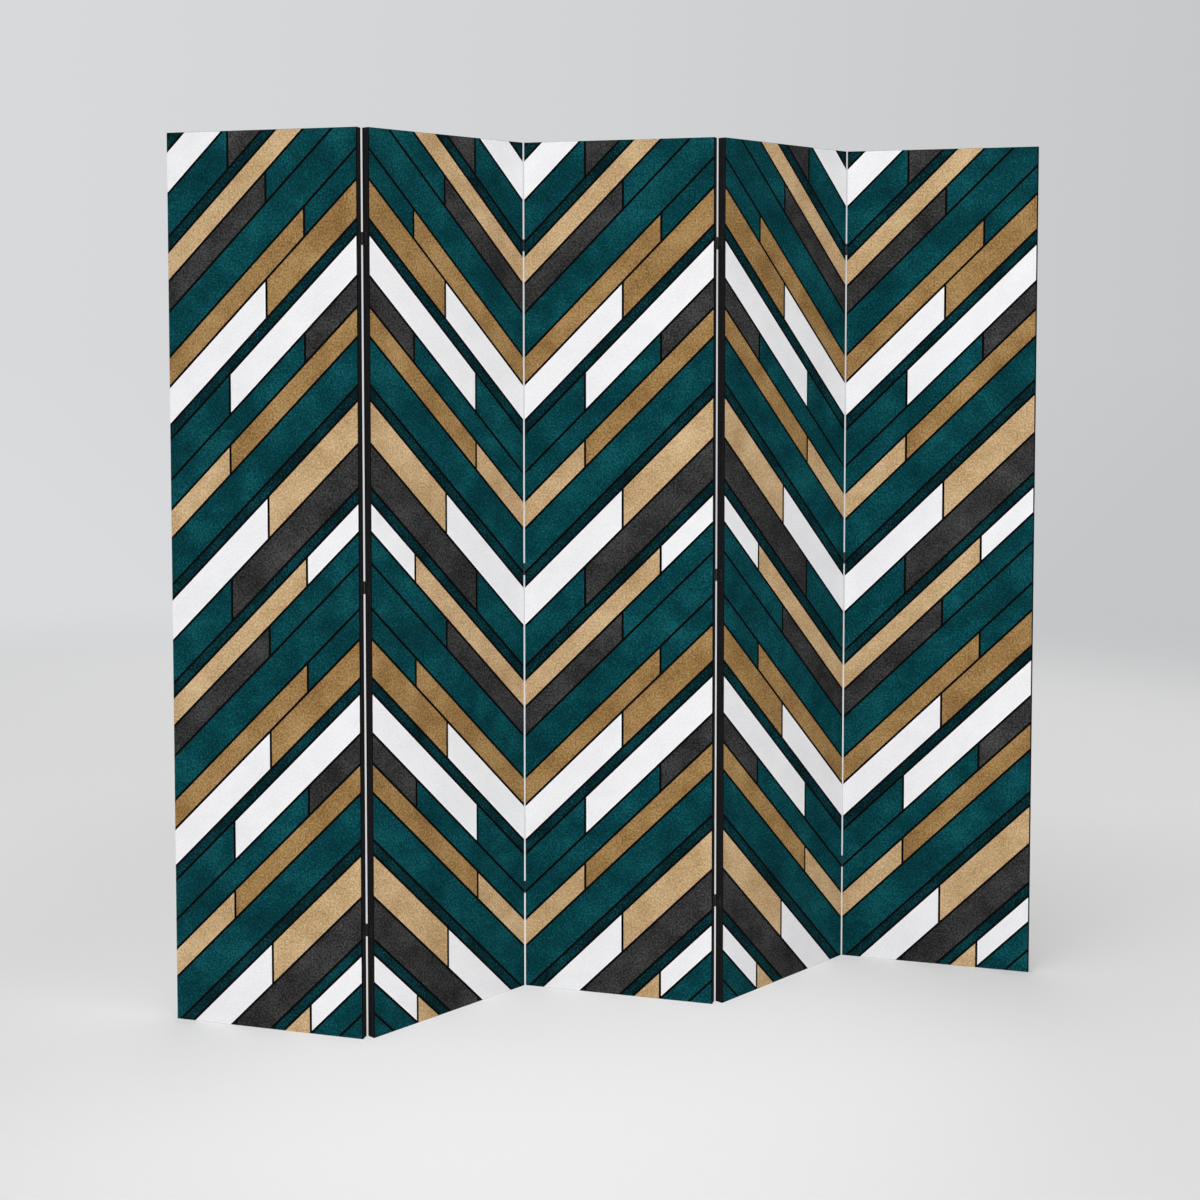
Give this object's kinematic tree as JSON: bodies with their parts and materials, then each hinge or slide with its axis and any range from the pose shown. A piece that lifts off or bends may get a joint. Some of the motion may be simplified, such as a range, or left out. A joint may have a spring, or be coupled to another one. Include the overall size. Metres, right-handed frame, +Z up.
{
  "type": "folding screen",
  "caption": "Free-standing folding screen: canvas panels on slim wooden frames, hinged edge to edge in a zigzag that folds flat.",
  "frame": {"origin": "middle of the middle panel's foot, at floor level, which is the centre of the whole zigzag", "axes": "+X along the screen from its left end to its right end, +Y to the back (the printed faces look towards -Y), +Z up"},
  "size_m": [1.781, 0.2186, 1.76],
  "materials": {
    "printed_canvas": "matt printed canvas in teal, tan, charcoal and white with black outlines, black edges, bare off-white cloth on the reverse",
    "frame_wood": "planed unfinished softwood",
    "hinge_steel": "satin black"
  },
  "bodies": {
    "panel_1": {"panel_1_canvas": "printed_canvas", "panel_1_left_stile": "frame_wood", "panel_1_right_stile": "frame_wood", "panel_1_bottom_rail": "frame_wood", "panel_1_middle_rail": "frame_wood", "panel_1_top_rail": "frame_wood", "hinge_1_2_bottom_left_leaf": "hinge_steel", "hinge_1_2_middle_left_leaf": "hinge_steel", "hinge_1_2_top_left_leaf": "hinge_steel"},
    "panel_2": {"panel_2_canvas": "printed_canvas", "panel_2_left_stile": "frame_wood", "panel_2_right_stile": "frame_wood", "panel_2_bottom_rail": "frame_wood", "panel_2_middle_rail": "frame_wood", "panel_2_top_rail": "frame_wood", "hinge_1_2_bottom_right_leaf": "hinge_steel", "hinge_1_2_middle_right_leaf": "hinge_steel", "hinge_1_2_top_right_leaf": "hinge_steel", "hinge_2_3_bottom_left_leaf": "hinge_steel", "hinge_2_3_middle_left_leaf": "hinge_steel", "hinge_2_3_top_left_leaf": "hinge_steel"},
    "panel_3": {"panel_3_canvas": "printed_canvas", "panel_3_left_stile": "frame_wood", "panel_3_right_stile": "frame_wood", "panel_3_bottom_rail": "frame_wood", "panel_3_middle_rail": "frame_wood", "panel_3_top_rail": "frame_wood", "hinge_2_3_bottom_right_leaf": "hinge_steel", "hinge_2_3_middle_right_leaf": "hinge_steel", "hinge_2_3_top_right_leaf": "hinge_steel", "hinge_3_4_bottom_left_leaf": "hinge_steel", "hinge_3_4_middle_left_leaf": "hinge_steel", "hinge_3_4_top_left_leaf": "hinge_steel"},
    "panel_4": {"panel_4_canvas": "printed_canvas", "panel_4_left_stile": "frame_wood", "panel_4_right_stile": "frame_wood", "panel_4_bottom_rail": "frame_wood", "panel_4_middle_rail": "frame_wood", "panel_4_top_rail": "frame_wood", "hinge_3_4_bottom_right_leaf": "hinge_steel", "hinge_3_4_middle_right_leaf": "hinge_steel", "hinge_3_4_top_right_leaf": "hinge_steel", "hinge_4_5_bottom_left_leaf": "hinge_steel", "hinge_4_5_middle_left_leaf": "hinge_steel", "hinge_4_5_top_left_leaf": "hinge_steel"},
    "panel_5": {"panel_5_canvas": "printed_canvas", "panel_5_left_stile": "frame_wood", "panel_5_right_stile": "frame_wood", "panel_5_bottom_rail": "frame_wood", "panel_5_middle_rail": "frame_wood", "panel_5_top_rail": "frame_wood", "hinge_4_5_bottom_right_leaf": "hinge_steel", "hinge_4_5_middle_right_leaf": "hinge_steel", "hinge_4_5_top_right_leaf": "hinge_steel"}
  },
  "joints": [
    {"name": "fold_2_3", "type": "hinge", "parent": "panel_3", "child": "panel_2", "pos_m": [-0.17841, 0.09325, 0.88], "axis": [0, 0, 1], "range_deg": [-61, 119]},
    {"name": "fold_1_2", "type": "hinge", "parent": "panel_2", "child": "panel_1", "pos_m": [-0.53523, -0.09325, 0.88], "axis": [0, 0, -1], "range_deg": [-61, 119]},
    {"name": "fold_3_4", "type": "hinge", "parent": "panel_3", "child": "panel_4", "pos_m": [0.17841, -0.09325, 0.88], "axis": [0, 0, 1], "range_deg": [-61, 119]},
    {"name": "fold_4_5", "type": "hinge", "parent": "panel_4", "child": "panel_5", "pos_m": [0.53523, 0.09325, 0.88], "axis": [0, 0, -1], "range_deg": [-61, 119]}
  ],
  "couplings": [
    {"joint": "fold_3_4", "follows": "fold_2_3", "ratio": 1}
  ]
}
